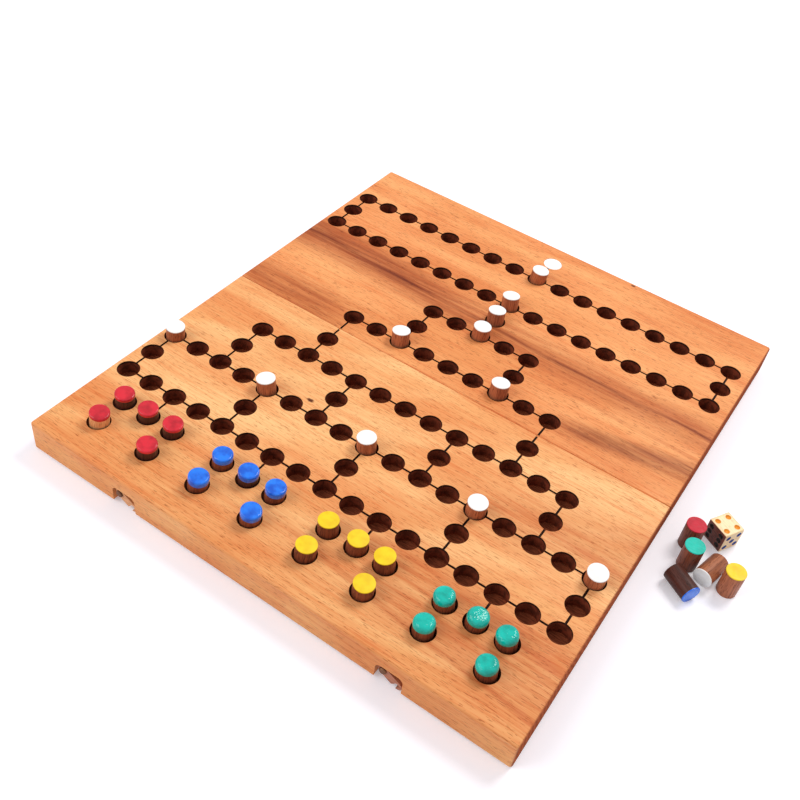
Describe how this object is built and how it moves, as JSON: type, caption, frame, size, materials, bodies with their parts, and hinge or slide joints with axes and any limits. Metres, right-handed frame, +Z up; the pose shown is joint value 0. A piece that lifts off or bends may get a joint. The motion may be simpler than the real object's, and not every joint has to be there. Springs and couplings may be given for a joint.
{
  "type": "barricade board game",
  "caption": "Folding wooden barricade game: a hinged board with drilled, burnt-line tracks, coloured pegs, white-topped blocking pegs and a wooden die.",
  "frame": {"origin": "on the table, under the middle of everything that stands on it; the seam between the board halves is the line y = 0", "axes": "+X to the right of the players at the homes, +Y away from them, across the seam, +Z up"},
  "size_m": [0.322, 0.314, 0.0266],
  "materials": {
    "near_board_wood": "golden straight-grained wood under a thin satin lacquer, holes and lines burnt dark",
    "far_board_wood": "golden wood with a darker brown heartwood band, satin lacquer, holes and lines burnt dark",
    "hinge_brass": "plain brass, slightly dull",
    "pin_steel": "plain steel wire",
    "screw_steel": "zinc-plated steel",
    "left_hook_wood": "light tan wood, sanded",
    "right_hook_wood": "pinkish-brown wood, sanded",
    "red_peg_paint": "reddish-brown wood dowel, its top dipped in thick glossy red paint",
    "blue_peg_paint": "reddish-brown wood dowel, its top dipped in thick glossy blue paint",
    "yellow_peg_paint": "reddish-brown wood dowel with a satin yellow top",
    "green_peg_paint": "reddish-brown wood dowel, its top dipped in thick glossy teal-green paint",
    "barricade_paint": "reddish-brown wood dowel with a flat matt white top",
    "die_wood": "pale cream wood with coloured pips"
  },
  "bodies": {
    "near_half": {"board_near": "near_board_wood", "hinge_left_near_leaf": "hinge_brass", "hinge_right_near_leaf": "hinge_brass", "hinge_left_pin": "pin_steel", "hinge_right_pin": "pin_steel", "hinge_screws_near": "screw_steel", "latch_pivot_screws": "screw_steel"},
    "far_half": {"board_far": "far_board_wood", "hinge_left_far_leaf": "hinge_brass", "hinge_right_far_leaf": "hinge_brass", "hinge_screws_far": "screw_steel", "latch_catch_screws": "screw_steel"},
    "left_latch": {"latch_hook_left": "left_hook_wood"},
    "right_latch": {"latch_hook_right": "right_hook_wood"},
    "red_peg_1": {"red_peg_1": "red_peg_paint"},
    "red_peg_2": {"red_peg_2": "red_peg_paint"},
    "red_peg_3": {"red_peg_3": "red_peg_paint"},
    "red_peg_4": {"red_peg_4": "red_peg_paint"},
    "red_peg_5": {"red_peg_5": "red_peg_paint"},
    "blue_peg_1": {"blue_peg_1": "blue_peg_paint"},
    "blue_peg_2": {"blue_peg_2": "blue_peg_paint"},
    "blue_peg_3": {"blue_peg_3": "blue_peg_paint"},
    "blue_peg_4": {"blue_peg_4": "blue_peg_paint"},
    "blue_peg_5": {"blue_peg_5": "blue_peg_paint"},
    "yellow_peg_1": {"yellow_peg_1": "yellow_peg_paint"},
    "yellow_peg_2": {"yellow_peg_2": "yellow_peg_paint"},
    "yellow_peg_3": {"yellow_peg_3": "yellow_peg_paint"},
    "yellow_peg_4": {"yellow_peg_4": "yellow_peg_paint"},
    "yellow_peg_5": {"yellow_peg_5": "yellow_peg_paint"},
    "green_peg_1": {"green_peg_1": "green_peg_paint"},
    "green_peg_2": {"green_peg_2": "green_peg_paint"},
    "green_peg_3": {"green_peg_3": "green_peg_paint"},
    "green_peg_4": {"green_peg_4": "green_peg_paint"},
    "green_peg_5": {"green_peg_5": "green_peg_paint"},
    "barricade_1": {"barricade_1": "barricade_paint"},
    "barricade_2": {"barricade_2": "barricade_paint"},
    "barricade_3": {"barricade_3": "barricade_paint"},
    "barricade_4": {"barricade_4": "barricade_paint"},
    "barricade_5": {"barricade_5": "barricade_paint"},
    "barricade_6": {"barricade_6": "barricade_paint"},
    "barricade_7": {"barricade_7": "barricade_paint"},
    "barricade_8": {"barricade_8": "barricade_paint"},
    "barricade_9": {"barricade_9": "barricade_paint"},
    "barricade_10": {"barricade_10": "barricade_paint"},
    "barricade_11": {"barricade_11": "barricade_paint"},
    "spare_red_peg": {"spare_red_peg": "red_peg_paint"},
    "spare_blue_peg": {"spare_blue_peg": "blue_peg_paint"},
    "spare_yellow_peg": {"spare_yellow_peg": "yellow_peg_paint"},
    "spare_green_peg": {"spare_green_peg": "green_peg_paint"},
    "spare_barricade": {"spare_barricade": "barricade_paint"},
    "die": {"die": "die_wood"}
  },
  "joints": [
    {"name": "board_fold", "type": "hinge", "parent": "near_half", "child": "far_half", "pos_m": [-0.023, 0, 0.0013], "axis": [-1, 0, 0], "range_deg": [0, 180]},
    {"name": "left_latch_swing", "type": "hinge", "parent": "near_half", "child": "left_latch", "pos_m": [-0.1031, -0.1537, 0.0073], "axis": [0, 1, 0], "range_deg": [-3, 58.5]},
    {"name": "right_latch_swing", "type": "hinge", "parent": "near_half", "child": "right_latch", "pos_m": [0.0499, -0.1537, 0.0073], "axis": [0, 1, 0], "range_deg": [-3, 58.5]},
    {"name": "red_peg_1_lift", "type": "slide", "parent": "near_half", "child": "red_peg_1", "axis": [0.0903, -0.0271, 0.9955], "range_m": [0, 0.02]},
    {"name": "red_peg_2_lift", "type": "slide", "parent": "near_half", "child": "red_peg_2", "axis": [0.0903, -0.0452, 0.9949], "range_m": [0, 0.02]},
    {"name": "red_peg_3_lift", "type": "slide", "parent": "near_half", "child": "red_peg_3", "axis": [0.1174, -0.0271, 0.9927], "range_m": [0, 0.02]},
    {"name": "red_peg_4_lift", "type": "slide", "parent": "near_half", "child": "red_peg_4", "axis": [0.1265, 0.009, 0.9919], "range_m": [0, 0.02]},
    {"name": "red_peg_5_lift", "type": "slide", "parent": "near_half", "child": "red_peg_5", "axis": [0.1174, -0.0452, 0.9921], "range_m": [0, 0.02]},
    {"name": "blue_peg_1_lift", "type": "slide", "parent": "near_half", "child": "blue_peg_1", "axis": [0.0452, 0.0271, 0.9986], "range_m": [0, 0.02]},
    {"name": "blue_peg_2_lift", "type": "slide", "parent": "near_half", "child": "blue_peg_2", "axis": [0.0903, -0.0181, 0.9957], "range_m": [0, 0.02]},
    {"name": "blue_peg_3_lift", "type": "slide", "parent": "near_half", "child": "blue_peg_3", "axis": [0.1084, 0.0181, 0.9939], "range_m": [0, 0.02]},
    {"name": "blue_peg_4_lift", "type": "slide", "parent": "near_half", "child": "blue_peg_4", "axis": [0.1265, 0.009, 0.9919], "range_m": [0, 0.02]},
    {"name": "blue_peg_5_lift", "type": "slide", "parent": "near_half", "child": "blue_peg_5", "axis": [0.1174, -0.0271, 0.9927], "range_m": [0, 0.02]},
    {"name": "yellow_peg_1_lift", "type": "slide", "parent": "near_half", "child": "yellow_peg_1", "axis": [-0.0271, 0.009, 0.9996], "range_m": [0, 0.02]},
    {"name": "yellow_peg_2_lift", "type": "slide", "parent": "near_half", "child": "yellow_peg_2", "axis": [0.0452, 0.009, 0.9989], "range_m": [0, 0.02]},
    {"name": "yellow_peg_3_lift", "type": "slide", "parent": "near_half", "child": "yellow_peg_3", "axis": [-0.0542, -0.0271, 0.9982], "range_m": [0, 0.02]},
    {"name": "yellow_peg_4_lift", "type": "slide", "parent": "near_half", "child": "yellow_peg_4", "axis": [0.0452, 0.0271, 0.9986], "range_m": [0, 0.02]},
    {"name": "yellow_peg_5_lift", "type": "slide", "parent": "near_half", "child": "yellow_peg_5", "axis": [0.0542, -0.0361, 0.9979], "range_m": [0, 0.02]},
    {"name": "green_peg_1_lift", "type": "slide", "parent": "near_half", "child": "green_peg_1", "axis": [-0.0813, -0.0542, 0.9952], "range_m": [0, 0.02]},
    {"name": "green_peg_2_lift", "type": "slide", "parent": "near_half", "child": "green_peg_2", "axis": [0.0632, -0.0181, 0.9978], "range_m": [0, 0.02]},
    {"name": "green_peg_3_lift", "type": "slide", "parent": "near_half", "child": "green_peg_3", "axis": [-0.0994, -0.0452, 0.994], "range_m": [0, 0.02]},
    {"name": "green_peg_4_lift", "type": "slide", "parent": "near_half", "child": "green_peg_4", "axis": [-0.0452, 0.0361, 0.9983], "range_m": [0, 0.02]},
    {"name": "green_peg_5_lift", "type": "slide", "parent": "near_half", "child": "green_peg_5", "axis": [-0.0903, -0.0361, 0.9953], "range_m": [0, 0.02]},
    {"name": "barricade_1_lift", "type": "slide", "parent": "near_half", "child": "barricade_1", "axis": [0.0723, -0.0361, 0.9967], "range_m": [0, 0.02]},
    {"name": "barricade_2_lift", "type": "slide", "parent": "near_half", "child": "barricade_2", "axis": [-0.0994, -0.009, 0.995], "range_m": [0, 0.02]},
    {"name": "barricade_3_lift", "type": "slide", "parent": "near_half", "child": "barricade_3", "axis": [-0.0542, -0.0271, 0.9982], "range_m": [0, 0.02]},
    {"name": "barricade_4_lift", "type": "slide", "parent": "near_half", "child": "barricade_4", "axis": [0.0361, -0.0361, 0.9987], "range_m": [0, 0.02]},
    {"name": "barricade_5_lift", "type": "slide", "parent": "near_half", "child": "barricade_5", "axis": [0.0361, -0.0813, 0.996], "range_m": [0, 0.02]},
    {"name": "barricade_6_lift", "type": "slide", "parent": "far_half", "child": "barricade_6", "axis": [-0.0723, 0.0994, 0.9924], "range_m": [0, 0.02]},
    {"name": "barricade_7_lift", "type": "slide", "parent": "far_half", "child": "barricade_7", "axis": [-0.0181, 0.1084, 0.9939], "range_m": [0, 0.02]},
    {"name": "barricade_8_lift", "type": "slide", "parent": "far_half", "child": "barricade_8", "axis": [0.0271, 0.0361, 0.999], "range_m": [0, 0.02]},
    {"name": "barricade_9_lift", "type": "slide", "parent": "far_half", "child": "barricade_9", "axis": [-0.0452, 0.0994, 0.994], "range_m": [0, 0.02]},
    {"name": "barricade_10_lift", "type": "slide", "parent": "far_half", "child": "barricade_10", "axis": [-0.0813, 0.0994, 0.9917], "range_m": [0, 0.02]},
    {"name": "barricade_11_lift", "type": "slide", "parent": "far_half", "child": "barricade_11", "axis": [0.0723, 0.0542, 0.9959], "range_m": [0, 0.02]},
    {"name": "spare_red_peg_lift", "type": "slide", "parent": "near_half", "child": "spare_red_peg", "axis": [0, 0, 1], "range_m": [0, 0.03]},
    {"name": "spare_blue_peg_lift", "type": "slide", "parent": "near_half", "child": "spare_blue_peg", "axis": [0, 0, 1], "range_m": [0, 0.03]},
    {"name": "spare_yellow_peg_lift", "type": "slide", "parent": "near_half", "child": "spare_yellow_peg", "axis": [0, 0, 1], "range_m": [0, 0.03]},
    {"name": "spare_green_peg_lift", "type": "slide", "parent": "near_half", "child": "spare_green_peg", "axis": [0, 0, 1], "range_m": [0, 0.03]},
    {"name": "spare_barricade_lift", "type": "slide", "parent": "near_half", "child": "spare_barricade", "axis": [0, 0, 1], "range_m": [0, 0.03]},
    {"name": "die_lift", "type": "slide", "parent": "near_half", "child": "die", "axis": [0, 0, 1], "range_m": [0, 0.03]}
  ]
}
